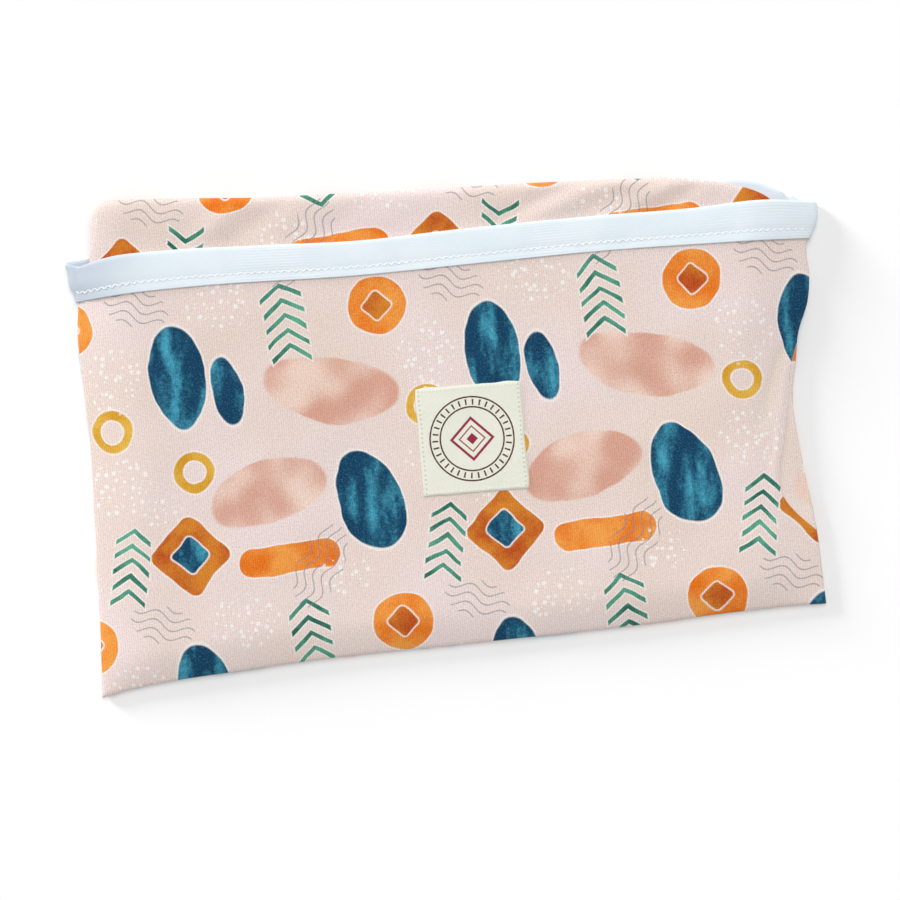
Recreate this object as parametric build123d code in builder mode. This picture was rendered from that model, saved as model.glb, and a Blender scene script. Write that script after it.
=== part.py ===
from build123d import *
import os
from math import atan2, degrees

# A stretch cover for a changing pad, folded flat. Its end pocket lies face up on a table and the
# rest of the cover is folded and tucked inside. X runs along the mouth, +Y out of it, Z is up.
# Sizes are in millimetres.

# Cloth, binding and thread
jersey = 0.8              # one ply of jersey as it lies
elastic = 0.9             # one leg of the binding that is folded over the mouth's edge
band_width = 16.5         # binding, from its fold to its stitched edge
stitch_pitch = 3.0
stitch_length = 2.2
stitch_width = 0.6
thread = 0.3              # how far a stitch stands above what it holds
stitch_margin = 4.3       # stitch row to the binding's edge
running_gap = 0.3         # between bodies that move past each other
seat_gap = 0.05           # under a piece that is sewn on

# Pocket from above
pocket_width = 348.5      # side to side where the binding's stitched edge crosses
left_depth = 207.0        # mouth to foot along the left side
right_depth = 191.0       # mouth to foot along the right side
waist_depth = 93.0        # mouth to where the right side pulls in
waist_inset = 12.5        # how far it pulls in
foot_inset = 5.0          # right foot corner, inside the right side
foot_flare = 3.7          # left foot corner, outside the left side
left_mouth_flare = 2.6    # ends of the mouth, outside the sides
right_mouth_flare = 5.6
back_mouth_rise = 11.0    # back run of the binding, beyond the front run
back_rise_run = 39.0      # how far from the mouth's end the back run has risen
seam_width = 5.0          # allowance of a corner seam
seam_inset = 1.5          # corner seam, inside the side fold

# Pocket from the side
turn_height = 4.0         # over a folded edge of binding
brow_run = 18.0           # foot to where the front levels out
brow_height = 8.5         # top of the front there
crown_height = 13.0       # top of the front at the binding
shoulder = 4.3            # width of the slope down to each side
climb_run = 8.0           # length over which the back panel climbs on to the binding
inner_leg_inset = 2.0     # inner leg of the back run, inside the turns

# Tucked bundle
bundle_proud = 27.6       # left end of its top edge, beyond the mouth
bundle_right_proud = 14.3  # right end of its top edge, beyond the mouth, before it bends down
bundle_right_inset = 11.8  # that end, inside the pocket's right side
bend_radius = 30.0        # how softly it bends down there
bundle_left_slant = 4.3   # how far the left edge leans in above the mouth
bundle_corner = 7.0       # radius of its corners
bundle_ease = 60.0        # radius where its two sides change direction
bundle_foot_room = 21.0   # lower edge to the pocket's foot
rim_width = 3.0           # cloth that turns round the bundle's outline
fold_thickness = 1.1      # a flat fold of two plies inside the bundle

# Label
label_width = 50.5
label_height = 52.0
label_thickness = 0.7
label_from_mouth = 98.8   # its centre
label_off_centre = 7.8    # to the right
label_stitch_margin = 2.2

# Places that follow
origin_shift = (foot_flare - right_mouth_flare) / 2
left_x = origin_shift - pocket_width / 2
right_x = origin_shift + pocket_width / 2
mouth_y = (left_depth - bundle_proud) / 2
band_foot_y = mouth_y - band_width
waist_y = mouth_y - waist_depth
lip_y = mouth_y - elastic
fold_height = turn_height - elastic
fold_radius = fold_height / 2
turn_radius = turn_height / 2
front_edge = turn_radius + running_gap
inner_leg = jersey + elastic


class Station:
    """A line across the pocket, from its left side to its right, with the front's height there."""

    def __init__(self, left, right, height):
        self.left = Vector(*left, 0)
        self.right = Vector(*right, 0)
        self.height = height
        self.span = (self.right - self.left).length
        along = (self.right - self.left).normalized()
        self.plane = Plane(origin=self.left, x_dir=along, z_dir=along.cross(Vector(0, 0, 1)))

    def at(self, distance):
        """The point a distance along the line from its left end, or from its right if negative."""
        start = self.left if distance >= 0 else self.right
        return start + self.plane.x_dir * distance

    def moved(self, distance, height=None):
        """A parallel line, further from the foot by a distance square to the line."""
        shift = Vector(0, distance / self.plane.x_dir.X, 0)
        left = self.left + shift
        right = self.right + shift
        return Station((left.X, left.Y), (right.X, right.Y), height or self.height)


def between(first, second, share, height):
    """The line that lies a share of the way from one station to the next."""
    left = first.left + (second.left - first.left) * share
    right = first.right + (second.right - first.right) * share
    return Station((left.X, left.Y), (right.X, right.Y), height)


mouth = Station(
    (left_x - left_mouth_flare, mouth_y), (right_x + right_mouth_flare, mouth_y), crown_height
)
band_foot = Station((left_x, band_foot_y), (right_x, band_foot_y), crown_height)
foot = Station(
    (left_x - foot_flare, mouth_y - left_depth),
    (right_x - foot_inset, mouth_y - right_depth),
    fold_height,
)
brow = foot.moved(brow_run, brow_height)
heel = foot.moved(fold_radius)
heel_run = fold_radius + running_gap
front_heel = foot.moved(heel_run, fold_height + (brow_height - fold_height) * heel_run / brow_run)
waist_share = (waist_y - brow.left.Y) / (band_foot_y - brow.left.Y)
waist = Station(
    (left_x, waist_y),
    (right_x - waist_inset, waist_y),
    brow_height + (crown_height - brow_height) * waist_share,
)
lip = between(band_foot, mouth, (lip_y - band_foot_y) / band_width, crown_height)
crown_tilt = degrees(atan2(crown_height - waist.height, band_foot_y - waist_y))
foot_line = foot.right - foot.left


def keep(part, name):
    """Names a finished part and writes its STEP file."""
    part.label = name
    export_step(part, f"parts/{name}.step")


def slope_outline(station, low, high):
    """Closed outline of a ply across the pocket: it slopes up from each side to the crown."""
    span = station.span
    top = station.height
    rise = [(front_edge, fold_height), (front_edge + shoulder, top)]
    fall = [(span - front_edge - shoulder, top), (span - front_edge, fold_height)]
    upper = [(u, z + high) for u, z in rise + fall]
    lower = [(u, z + low) for u, z in rise + fall]
    return upper + lower[::-1]


def side_plane(station, side):
    """Plane at one side of a station, with its first axis pointing into the pocket."""
    inward = 1 if side == "left" else -1
    return Plane(
        origin=station.left if side == "left" else station.right,
        x_dir=station.plane.x_dir * inward,
        z_dir=station.plane.z_dir * inward,
    )


def back_outline(stations):
    """Ends of the back panel along the stations, first up the left side, then up the right."""
    lefts = [station.at(turn_radius) for station in stations]
    rights = [station.at(-turn_radius) for station in stations]
    return [(p.X, p.Y) for p in lefts], [(p.X, p.Y) for p in rights]


def back_mouth_edge(drop=0.0):
    """Points of the back panel's mouth edge, or of a line some way below it, between the turns."""
    level = between(mouth, band_foot, drop / band_width, crown_height)
    left = level.at(turn_radius).X
    right = level.at(-turn_radius).X
    end = mouth_y - drop
    top = end + back_mouth_rise
    return [
        (left, end),
        (left + back_rise_run, top - back_mouth_rise / 8),
        (origin_shift, top),
        (right - back_rise_run, top),
        (right, end),
    ]


os.makedirs("parts", exist_ok=True)

# Pocket front panel, from its hinge line at the foot to the lip inside the binding
with BuildPart() as pocket_front_panel:
    for station in (front_heel, brow, waist, band_foot, lip):
        with BuildSketch(station.plane):
            with BuildLine():
                Polyline(*slope_outline(station, -jersey, 0), close=True)
            make_face()
    loft(ruled=True)
keep(pocket_front_panel.part, "pocket_front_panel")

# Front run of the binding: outer leg, the turn over the mouth's edge, and inner leg
with BuildPart() as elastic_front_run:
    for first, second, low, high in ((band_foot, mouth, 0, elastic), (lip, mouth, -jersey, 0)):
        for station in (first, second):
            with BuildSketch(station.plane):
                with BuildLine():
                    Polyline(*slope_outline(station, low, high), close=True)
                make_face()
        loft(ruled=True)
    inner_span = band_foot.span - 2 * (shoulder + front_edge)
    with BuildSketch(Plane.XY.offset(crown_height - inner_leg)):
        with Locations((origin_shift, mouth_y)):
            Rectangle(inner_span, band_width, align=(Align.CENTER, Align.MAX))
    extrude(amount=elastic)
    with BuildSketch(Plane.XY.offset(crown_height - inner_leg)):
        with Locations((origin_shift, mouth_y)):
            Rectangle(inner_span, elastic, align=(Align.CENTER, Align.MAX))
    extrude(amount=inner_leg)
keep(elastic_front_run.part, "elastic_front_run")

# Back panel: flat on the table, climbing on to the binding's outer leg near its mouth
climb_end = band_foot_y - running_gap
with BuildPart() as pocket_back_panel:
    with BuildSketch(Plane.YZ.offset(left_x - left_mouth_flare)):
        with BuildLine():
            lower = [
                (foot.left.Y, 0),
                (climb_end - climb_run, 0),
                (climb_end, elastic),
                (mouth_y + back_mouth_rise, elastic),
            ]
            upper = [(y, z + jersey) for y, z in lower]
            Polyline(*lower, *upper[::-1], close=True)
        make_face()
    extrude(amount=mouth.span)
    with BuildSketch():
        with BuildLine():
            left_side, right_side = back_outline((heel, brow, waist, band_foot))
            edge = Spline(*back_mouth_edge(drop=elastic))
            Polyline(edge @ 0, *left_side[::-1], *right_side, edge @ 1)
        make_face()
    extrude(amount=fold_height, mode=Mode.INTERSECT)
keep(pocket_back_panel.part, "pocket_back_panel")

# Back run of the binding, round the back panel's mouth edge
with BuildPart() as elastic_back_run:
    with BuildSketch():
        with BuildLine():
            fold = Spline(*back_mouth_edge())
            stitched = Spline(*back_mouth_edge(drop=band_width))
            Line(fold @ 0, stitched @ 0)
            Line(fold @ 1, stitched @ 1)
        make_face()
    extrude(amount=2 * elastic + jersey)
    with BuildSketch(Plane.XY.offset(elastic)):
        with BuildLine():
            lip_edge = Spline(*back_mouth_edge(drop=elastic))
            low_edge = Spline(*back_mouth_edge(drop=2 * band_width))
            Line(lip_edge @ 0, low_edge @ 0)
            Line(lip_edge @ 1, low_edge @ 1)
        make_face()
    extrude(amount=jersey, mode=Mode.SUBTRACT)
    above = between(band_foot, mouth, 1.5, crown_height)
    below = between(band_foot, mouth, -0.5, crown_height)
    for side in (1, -1):
        outer = [level.at(side * fold_radius) for level in (above, below)]
        inner = [level.at(side * (turn_radius + inner_leg_inset)) for level in (below, above)]
        with BuildSketch(Plane.XY.offset(elastic + jersey)):
            with BuildLine():
                Polyline(*[(p.X, p.Y) for p in outer + inner], close=True)
            make_face()
        extrude(amount=elastic, mode=Mode.SUBTRACT)
keep(elastic_back_run.part, "elastic_back_run")

# Foot fold, where the back panel turns up into the front
with BuildPart() as pocket_foot_fold:
    across = Plane(origin=foot.left, x_dir=Vector(0, 0, 1).cross(foot_line), z_dir=foot_line)
    with BuildSketch(across):
        with Locations((fold_radius, fold_radius)):
            Circle(fold_radius)
            Circle(fold_radius - jersey, mode=Mode.SUBTRACT)
            Rectangle(
                fold_radius, fold_height, align=(Align.MIN, Align.CENTER), mode=Mode.SUBTRACT
            )
    extrude(amount=foot.span)
keep(pocket_foot_fold.part, "pocket_foot_fold")


# Side folds, left and right, from the foot fold to the binding
for side in ("left", "right"):
    with BuildPart() as side_fold:
        for station in (heel, brow, waist, band_foot):
            with BuildSketch(side_plane(station, side)):
                with BuildLine():
                    Line((turn_radius, 0), (fold_radius, 0))
                    ThreePointArc(
                        (fold_radius, 0), (0, fold_radius), (fold_radius, fold_height)
                    )
                    Polyline(
                        (fold_radius, fold_height),
                        (turn_radius, fold_height),
                        (turn_radius, fold_height - jersey),
                        (fold_radius, fold_height - jersey),
                    )
                    ThreePointArc(
                        (fold_radius, fold_height - jersey),
                        (jersey, fold_radius),
                        (fold_radius, jersey),
                    )
                    Polyline((fold_radius, jersey), (turn_radius, jersey), (turn_radius, 0))
                make_face()
        loft(ruled=True)
    keep(side_fold.part, f"pocket_{side}_fold")

# Turns of the binding at the two ends of the mouth
for side in ("left", "right"):
    with BuildPart() as turn:
        for station in (band_foot, mouth):
            with BuildSketch(side_plane(station, side)):
                with BuildLine():
                    ThreePointArc((turn_radius, 0), (0, turn_radius), (turn_radius, turn_height))
                    Line((turn_radius, turn_height), (turn_radius, 0))
                make_face()
        loft(ruled=True)
    keep(turn.part, f"elastic_{side}_turn")

# Corner seam allowances, lying on the back panel just inside the side folds
seam_run = band_foot_y - waist_y
seam_end = between(waist, band_foot, 1 - (climb_run + elastic) / seam_run, crown_height)
for side in ("left", "right"):
    with BuildPart() as seam:
        for station in (brow, waist, seam_end):
            with BuildSketch(side_plane(station, side)):
                with Locations((turn_radius + seam_inset, jersey)):
                    Rectangle(seam_width, 2 * jersey, align=(Align.MIN, Align.MIN))
        loft(ruled=True)
    keep(seam.part, f"{side}_corner_seam")

# Zigzag rows that hold the binding, front and back
row_y = band_foot_y + stitch_margin
row_count = int((band_foot.span - 2 * (shoulder + turn_radius + stitch_pitch)) / stitch_pitch)
with BuildPart() as elastic_front_stitching:
    with Locations((origin_shift, row_y, crown_height + elastic)):
        with GridLocations(stitch_pitch, 1, row_count, 1):
            Box(
                stitch_length,
                stitch_width,
                thread,
                align=(Align.CENTER, Align.CENTER, Align.MIN),
            )
keep(elastic_front_stitching.part, "elastic_front_stitching")

back_row = Spline(*back_mouth_edge(drop=band_width - stitch_margin))
back_count = int(back_row.length / stitch_pitch) - 2
back_places = [back_row @ ((index + 1.5) / (back_count + 2)) for index in range(back_count)]
with BuildPart() as elastic_back_stitching:
    with Locations(*[place + Vector(0, 0, 2 * elastic + jersey) for place in back_places]):
        Box(
            stitch_length,
            stitch_width,
            running_gap / 2,
            align=(Align.CENTER, Align.CENTER, Align.MIN),
        )
keep(elastic_back_stitching.part, "elastic_back_stitching")

# Woven label on the front panel, with a row of stitches along its top and its bottom
label_y = mouth_y - label_from_mouth
label_z = waist.height + (label_y - waist_y) * (crown_height - waist.height) / (band_foot_y - waist_y)
label_plane = Plane(
    origin=(origin_shift + label_off_centre, label_y, label_z + seat_gap), z_dir=(0, 0, 1)
).rotated((crown_tilt, 0, 0))
with BuildPart() as woven_label:
    with BuildSketch(label_plane):
        Rectangle(label_width, label_height)
    extrude(amount=label_thickness)
keep(woven_label.part, "woven_label")

label_count = int((label_width - 2 * label_stitch_margin) / stitch_pitch)
for name, direction in (("top", 1), ("bottom", -1)):
    with BuildPart(label_plane.offset(label_thickness)) as label_stitching:
        with Locations((0, direction * (label_height / 2 - label_stitch_margin))):
            with GridLocations(stitch_pitch, 1, label_count, 1):
                Box(
                    stitch_length,
                    stitch_width,
                    thread,
                    align=(Align.CENTER, Align.CENTER, Align.MIN),
                )
    keep(label_stitching.part, f"label_{name}_stitching")

# Tucked bundle: a wedge of folds, thicker towards the mouth, with cloth turned round its rim
bundle_base = 2 * elastic + jersey + running_gap
bundle_mouth_top = crown_height - inner_leg - running_gap
bundle_foot_top = brow_height - jersey - running_gap
bundle_foot = foot.moved(bundle_foot_room)
bundle_run = mouth_y - bundle_foot.right.Y
bundle_slope = degrees(atan2(bundle_mouth_top - bundle_foot_top, bundle_run))
bundle_side_room = front_edge + shoulder + running_gap
bundle_left = left_x + bundle_side_room
bundle_waist = right_x - waist_inset - bundle_side_room


def bundle_top(depth):
    """Sloping plane that lies a depth under the bundle's top."""
    return Plane(origin=(0, mouth_y, bundle_mouth_top - depth), z_dir=(0, 0, 1)).rotated(
        (bundle_slope, 0, 0)
    )


foot_share = (bundle_waist - foot.left.X) / (foot.right.X - foot.left.X)
bundle_corners = {
    "top left": (bundle_left + bundle_left_slant, mouth_y + bundle_proud),
    "top right": (right_x - bundle_right_inset, mouth_y + bundle_right_proud),
    "waist": (bundle_waist, waist_y),
    "foot right": (bundle_waist, bundle_foot.left.Y + foot_share * foot_line.Y),
    "foot left": (bundle_left, bundle_foot.left.Y),
    "mouth left": (bundle_left, mouth_y),
}
corner_radii = {
    "top left": bundle_corner,
    "top right": bend_radius,
    "waist": bundle_ease,
    "foot right": bundle_corner,
    "foot left": bundle_corner,
    "mouth left": bundle_ease,
}
with BuildSketch() as bundle_plan:
    with BuildLine():
        Polyline(*bundle_corners.values(), close=True)
    make_face()
    for name, corner in bundle_corners.items():
        fillet(bundle_plan.vertices().sort_by_distance(corner)[0], corner_radii[name])

with BuildSketch() as bundle_core:
    add(bundle_plan.sketch)
    offset(amount=-rim_width, kind=Kind.INTERSECTION, mode=Mode.REPLACE)

with BuildPart() as bundle_turned_rim:
    with BuildSketch(Plane.XY.offset(bundle_base)):
        add(bundle_plan.sketch)
    extrude(amount=crown_height)
    split(bisect_by=bundle_top(0), keep=Keep.BOTTOM)
    with BuildSketch():
        add(bundle_core.sketch)
    extrude(amount=2 * crown_height, mode=Mode.SUBTRACT)
keep(bundle_turned_rim.part, "bundle_turned_rim")

# Plies under the top, each between two depths, and plies on the base
for name, upper, lower in (
    ("bundle_face_ply", 0, jersey),
    ("bundle_upper_fold", jersey, jersey + fold_thickness),
):
    with BuildPart() as ply:
        with BuildSketch(Plane.XY.offset(bundle_base)):
            add(bundle_core.sketch)
        extrude(amount=crown_height)
        split(bisect_by=bundle_top(upper), keep=Keep.BOTTOM)
        split(bisect_by=bundle_top(lower), keep=Keep.TOP)
    keep(ply.part, name)

for name, lower, thickness in (
    ("bundle_back_ply", 0, jersey),
    ("bundle_lower_fold", jersey, fold_thickness),
):
    with BuildPart() as ply:
        with BuildSketch(Plane.XY.offset(bundle_base + lower)):
            add(bundle_core.sketch)
        extrude(amount=thickness)
    keep(ply.part, name)

# Between them the middle fold, with the gathered elastic along its two sides
core_left = bundle_left + rim_width
core_right = right_x
for name, low_x, high_x in (
    ("bundle_left_elastic", core_left, core_left + band_width),
    ("bundle_middle_fold", core_left + band_width, bundle_waist - rim_width - band_width),
    ("bundle_right_elastic", bundle_waist - rim_width - band_width, core_right),
):
    with BuildPart() as middle:
        with BuildSketch(Plane.XY.offset(bundle_base + jersey + fold_thickness)):
            add(bundle_core.sketch)
            with Locations(((low_x + high_x) / 2, 0)):
                Rectangle(high_x - low_x, 2 * left_depth, mode=Mode.INTERSECT)
        extrude(amount=crown_height)
        split(bisect_by=bundle_top(jersey + fold_thickness), keep=Keep.BOTTOM)
    keep(middle.part, name)

# The front panel turns about a line halfway across its gap to the foot fold
hinge_line = foot.moved(fold_radius + running_gap / 2)
hinge_middle = hinge_line.at(hinge_line.span / 2) + Vector(0, 0, fold_height - jersey / 2)
print("front hinge through", hinge_middle, "along", hinge_line.plane.x_dir)
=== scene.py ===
import math

import bpy
import numpy as np
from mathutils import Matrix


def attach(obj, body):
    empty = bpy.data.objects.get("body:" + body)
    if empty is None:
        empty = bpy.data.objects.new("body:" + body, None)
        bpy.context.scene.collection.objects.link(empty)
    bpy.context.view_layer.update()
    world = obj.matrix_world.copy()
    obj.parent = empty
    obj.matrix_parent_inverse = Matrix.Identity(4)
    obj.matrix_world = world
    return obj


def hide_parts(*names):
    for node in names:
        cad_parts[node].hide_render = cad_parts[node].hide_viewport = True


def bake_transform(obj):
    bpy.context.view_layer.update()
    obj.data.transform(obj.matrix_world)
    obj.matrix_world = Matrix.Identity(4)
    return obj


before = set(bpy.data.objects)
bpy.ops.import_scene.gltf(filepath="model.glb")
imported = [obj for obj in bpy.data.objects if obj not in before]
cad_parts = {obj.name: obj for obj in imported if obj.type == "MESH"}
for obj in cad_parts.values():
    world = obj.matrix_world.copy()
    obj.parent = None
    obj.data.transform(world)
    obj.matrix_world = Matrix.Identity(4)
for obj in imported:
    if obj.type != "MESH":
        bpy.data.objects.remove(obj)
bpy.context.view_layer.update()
bpy.ops.object.select_all(action="DESELECT")
print("frame is in, with", len(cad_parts), "CAD nodes")

mm = 0.001


def lineThrough(*points):  # a smooth line through a few (place, value) pairs, in mm
    places, values = (np.array(side, float) for side in zip(*points))
    slopes = np.gradient(values, places)

    def follow(where):
        where = np.clip(where, places[0], places[-1])
        start = np.clip(np.searchsorted(places, where, side="right") - 1, 0, len(places) - 2)
        gap = places[start + 1] - places[start]
        t = (where - places[start]) / gap
        near = (2 * t**3 - 3 * t**2 + 1) * values[start]
        near = near + (t**3 - 2 * t**2 + t) * gap * slopes[start]
        far = (3 * t**2 - 2 * t**3) * values[start + 1] + (t**3 - t**2) * gap * slopes[start + 1]
        return near + far

    return follow


def hills(x, y, apart, seed):  # soft random hills, about that far apart, from -1 to 1
    wheel = np.random.default_rng(seed)
    total = 0 * x
    for _ in range(8):
        heading, phase = wheel.uniform(0, 2 * math.pi, 2)
        pace = 2 * math.pi / apart * wheel.uniform(0.55, 1.5)
        total = total + np.sin((x * math.cos(heading) + y * math.sin(heading)) * pace + phase)
    return total / 3.6


def ridge(x, y, start, end, width):  # a soft ridge along a straight run, 1 on its line
    run = np.array(end, float) - start
    length = math.hypot(*run)
    along = ((x - start[0]) * run[0] + (y - start[1]) * run[1]) / length
    aside = ((x - start[0]) * run[1] - (y - start[1]) * run[0]) / length
    fade = np.clip(np.minimum(along, length - along) / (0.3 * length) + 0.5, 0, 1)
    return np.exp(-((aside / width) ** 2)) * fade * fade * (3 - 2 * fade)


def bump(distance, width):  # 1 on the spot, fading over about that width
    return np.exp(-((distance / width) ** 2))


def rounded(distance, reach):  # 0 at an edge, 1 from reach on, as a quarter of an ellipse
    return np.sqrt(1 - (1 - np.clip(distance / reach, 0, 1)) ** 2)


def eased(share):
    share = np.clip(share, 0, 1)
    return share * share * (3 - 2 * share)


def reaching(y, low, lowFade, high, highFade):  # 1 between low and high, fading at both ends
    return eased((high - y) / highFade) * eased((y - low) / lowFade)


nearEdge = (0, 0.25, 0.7, 1.4, 2.3, 3.4, 4.8, 6.5)  # mm from an edge, where cloth bends most


def steps(length, pitch, near=nearEdge):  # shares of a length, closer together at both ends
    middle = np.linspace(near[-1], length - near[-1], int((length - 2 * near[-1]) / pitch) + 1)
    return np.concatenate([near[:-1], middle, length - np.array(near[-2::-1])]) / length


def pointsOf(piece):  # one row of x, y and z for each point
    flat = np.zeros(len(piece.data.vertices) * 3)
    piece.data.vertices.foreach_get("co", flat)
    return flat.reshape(-1, 3)


def mark(piece, name, values):  # a number on each point, for the material to read
    marks = piece.data.attributes.new(name, "FLOAT", "POINT")
    marks.data.foreach_set("value", values.astype(np.float32))


def layCloth(name, columns, rows, place, printAt, joined=True):
    # A grid of cloth: place gives a crossing its point in mm, and printAt its place on the print.
    bpy.ops.object.select_all(action="DESELECT")
    bpy.ops.mesh.primitive_grid_add(x_subdivisions=columns, y_subdivisions=rows, size=2)
    cloth = bpy.context.object
    cloth.name = cloth.data.name = name
    mesh = cloth.data
    flat = pointsOf(cloth)
    column = np.rint((flat[:, 0] + 1) / 2 * columns).astype(int)
    row = np.rint((flat[:, 1] + 1) / 2 * rows).astype(int)
    mesh.vertices.foreach_set("co", (place(column, row) * mm).astype(np.float32).ravel())
    corner = np.zeros(len(mesh.loops), int)
    mesh.loops.foreach_get("vertex_index", corner)
    sheetMap = mesh.uv_layers.active or mesh.uv_layers.new(name="sheet")
    sheetMap.name = "sheet"
    where = printAt(column, row)[corner] * mm
    sheetMap.data.foreach_set("uv", where.astype(np.float32).ravel())
    if joined:
        bpy.ops.object.mode_set(mode="EDIT")
        bpy.ops.mesh.select_all(action="SELECT")
        bpy.ops.mesh.remove_doubles(threshold=0.02 * mm)
        bpy.ops.mesh.normals_make_consistent(inside=False)
        bpy.ops.object.mode_set(mode="OBJECT")
    bpy.ops.object.shade_smooth()
    return cloth


def thicken(cloth, thickness):
    wall = cloth.modifiers.new("wall", "SOLIDIFY")
    wall.thickness = thickness * mm
    wall.offset = 0
    wall.use_even_offset = False
    bpy.context.view_layer.objects.active = cloth
    bpy.ops.object.modifier_apply(modifier="wall")
    count = len(cloth.data.vertices)  # the first half is the outer face, the rest the inner one
    mark(cloth, "wrongSide", np.arange(count) >= count // 2)


def dress(piece, material):
    piece.data.materials.clear()
    piece.data.materials.append(material)


def colour(code):  # sRGB hex to linear
    parts = [int(code[i : i + 2], 16) / 255 for i in (1, 3, 5)]
    return [p / 12.92 if p <= 0.04045 else ((p + 0.055) / 1.055) ** 2.4 for p in parts] + [1]


def put(tree, kind, inputs, out=0, **settings):
    # Adds one node. Inputs are a list, or a dictionary by name or number; gives back an output.
    node = tree.nodes.new("ShaderNode" + kind)
    for name, value in settings.items():
        setattr(node, name, value)
    for name, value in inputs.items() if isinstance(inputs, dict) else enumerate(inputs):
        if isinstance(value, bpy.types.NodeSocket):
            tree.links.new(value, node.inputs[name])
        else:
            node.inputs[name].default_value = value
    return node.outputs[out] if node.outputs else None


smooth = {"interpolation_type": "SMOOTHSTEP"}  # eases a Map Range in and out
inColour = {"out": 2, "data_type": "RGBA"}  # a Mix of colours, and its output


def newMaterial(name):
    material = bpy.data.materials.new(name)
    material.use_nodes = True
    material.node_tree.nodes.clear()
    return material, material.node_tree


def onSheet(tree):  # the place on the cloth's own map, in mm
    sheetMap = put(tree, "UVMap", [], uv_map="sheet")
    return put(tree, "VectorMath", {0: sheetMap, "Scale": 1000.0}, operation="SCALE")


def finishWith(tree, base, height, finish, strength=0.4, depth=0.2):
    # The surface: its colour, a fine relief that is depth mm high, and how it takes the light.
    relief = put(tree, "Bump", {"Height": height, "Strength": strength, "Distance": depth * mm})
    finish = {"Base Color": base, "Normal": relief, **finish}
    put(tree, "OutputMaterial", {"Surface": put(tree, "BsdfPrincipled", finish)})


# The print is a generic one: pebbles, bars, diamonds, discs, arrow columns and rings in soft
# watercolour on a blush ground. One repeat is 150 by 152 mm, and all places are in mm.
printDesign = {
    "repeat": (150.0, 152.0),
    "ground": ("#F3E1DE", "#EFDCD1"),
    "cream": "#F5E5D6",  # the ground is warmer where the cloth is creased at the right
    "halo": "#FCF3EE",
    "rose": ("#F7DACA", "#DDA18A"),
    "teal": ("#024263", "#4DB2CE"),
    "orange": ("#EE7610", "#F9A44A"),
    "rust": ("#BE4814", "#DE8A2A"),
    "green": ("#1C6655", "#62B093"),
    "mustard": ("#DA9B22", "#EDBD4E"),
    "linework": "#858A96",
    "specks": "#FDF8F4",
    "bareFibre": "#FBF6F2",  # ends of fibre that the dye has missed
    "wrongSide": "#F1E8E4",
    # centre, turn in degrees, size, and how much fuller one end is
    "rosePebbles": (((92, 20), -12, (64, 31), 0.35), ((58, 127), 14, (57, 30), -0.3)),
    "tealPebbles": (
        ((20, 32), 4, (26, 50), 0.1),
        ((43, 24), 8, (15, 33), 0),
        ((106, 119), 18, (30, 50), -0.25),
    ),
    "orangeDiscs": (((117, 59), 0, (28, 28), 0),),
    # centre, turn, size and corner radius
    "orangeBars": (((66, 94), 4, (48, 14), 6.6),),
    "rustDiamonds": (((19, 99), 45, (29, 29), 4), ((117, 59), 45, (11, 11), 1.8)),
    "tealDiamonds": (((19, 99), 45, (14, 14), 2.2),),
    # centre, turn, size, pitch and width of the arrows
    "greenArrows": (((73, 58), 5, (19, 35), 7.4, 2.5), ((141, 99), -10, (17, 35), 7.4, 2.5)),
    "mustardRings": (((137, 9), 7.8, 3.9), ((24, 139), 7.4, 3.9)),  # centre, radius, width
    "penWaves": (((80, 89), 62, (42, 21), 4.4, 0.42), ((3, 67), -20, (31, 18), 4.4, 0.42)),
    "waveLength": 17.0,
    "waveSwing": 1.9,
    "speckPatches": (
        ((139, 33), 0, (30, 32)),
        ((42, 66), 0, (34, 26)),
        ((139, 134), 0, (30, 28)),
        ((92, 84), 0, (26, 20)),
        ((6, 122), 0, (22, 16)),
    ),
    "unevenEdge": 4.6,  # how far the brush strays from its shapes
    "beyondSlit": (52.0, 71.0, 0.0),  # the cloth behind the slit comes from elsewhere in the print
    "waleSpacing": 1.05,
}


def motifPlace(tree, place, centre, turn):
    # The vector from the nearest repeat of a motif's centre, turned with the motif.
    wide, tall = printDesign["repeat"]
    off = put(tree, "VectorMath", [place, (*centre, 0)], operation="SUBTRACT")
    half = (wide / 2, tall / 2, 1)
    near = put(tree, "VectorMath", [off, half, [-side for side in half]], operation="WRAP")
    flat = put(tree, "VectorMath", [near, (1, 1, 0)], operation="MULTIPLY")
    return put(
        tree, "VectorRotate", {"Vector": flat, "Angle": math.radians(-turn)}, rotation_type="Z_AXIS"
    )


def pebble(tree, place, centre, turn, size, lean=0.0):  # an oval that may be fuller at one end
    off = motifPlace(tree, place, centre, turn)
    if lean:
        across = put(tree, "SeparateXYZ", [off])
        upward = across.node.outputs[1]
        fuller = put(tree, "Math", [upward, lean / size[1], 1.0], operation="MULTIPLY_ADD")
        narrowed = put(tree, "Math", [across, fuller], operation="DIVIDE")
        off = put(tree, "CombineXYZ", [narrowed, upward])
    scaled = put(tree, "VectorMath", [off, (size[0] / 2, size[1] / 2, 1)], operation="DIVIDE")
    length = put(tree, "VectorMath", [scaled], "Value", operation="LENGTH")
    return put(tree, "Math", [length, min(size) / 2, -min(size) / 2], operation="MULTIPLY_ADD")


def bar(tree, place, centre, turn, size, radius):  # a rectangle with round corners
    off = motifPlace(tree, place, centre, turn)
    halved = put(tree, "VectorMath", [off], operation="ABSOLUTE")
    core = (size[0] / 2 - radius, size[1] / 2 - radius, 0)
    outside = put(tree, "VectorMath", [halved, core], operation="SUBTRACT")
    kept = put(tree, "VectorMath", [outside, (0, 0, 0)], operation="MAXIMUM")
    length = put(tree, "VectorMath", [kept], "Value", operation="LENGTH")
    return put(tree, "Math", [length, radius], operation="SUBTRACT")


def waves(tree, value, pace):
    paced = put(tree, "Math", [value, pace], operation="MULTIPLY")
    return put(tree, "Math", [paced], operation="SINE")


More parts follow.
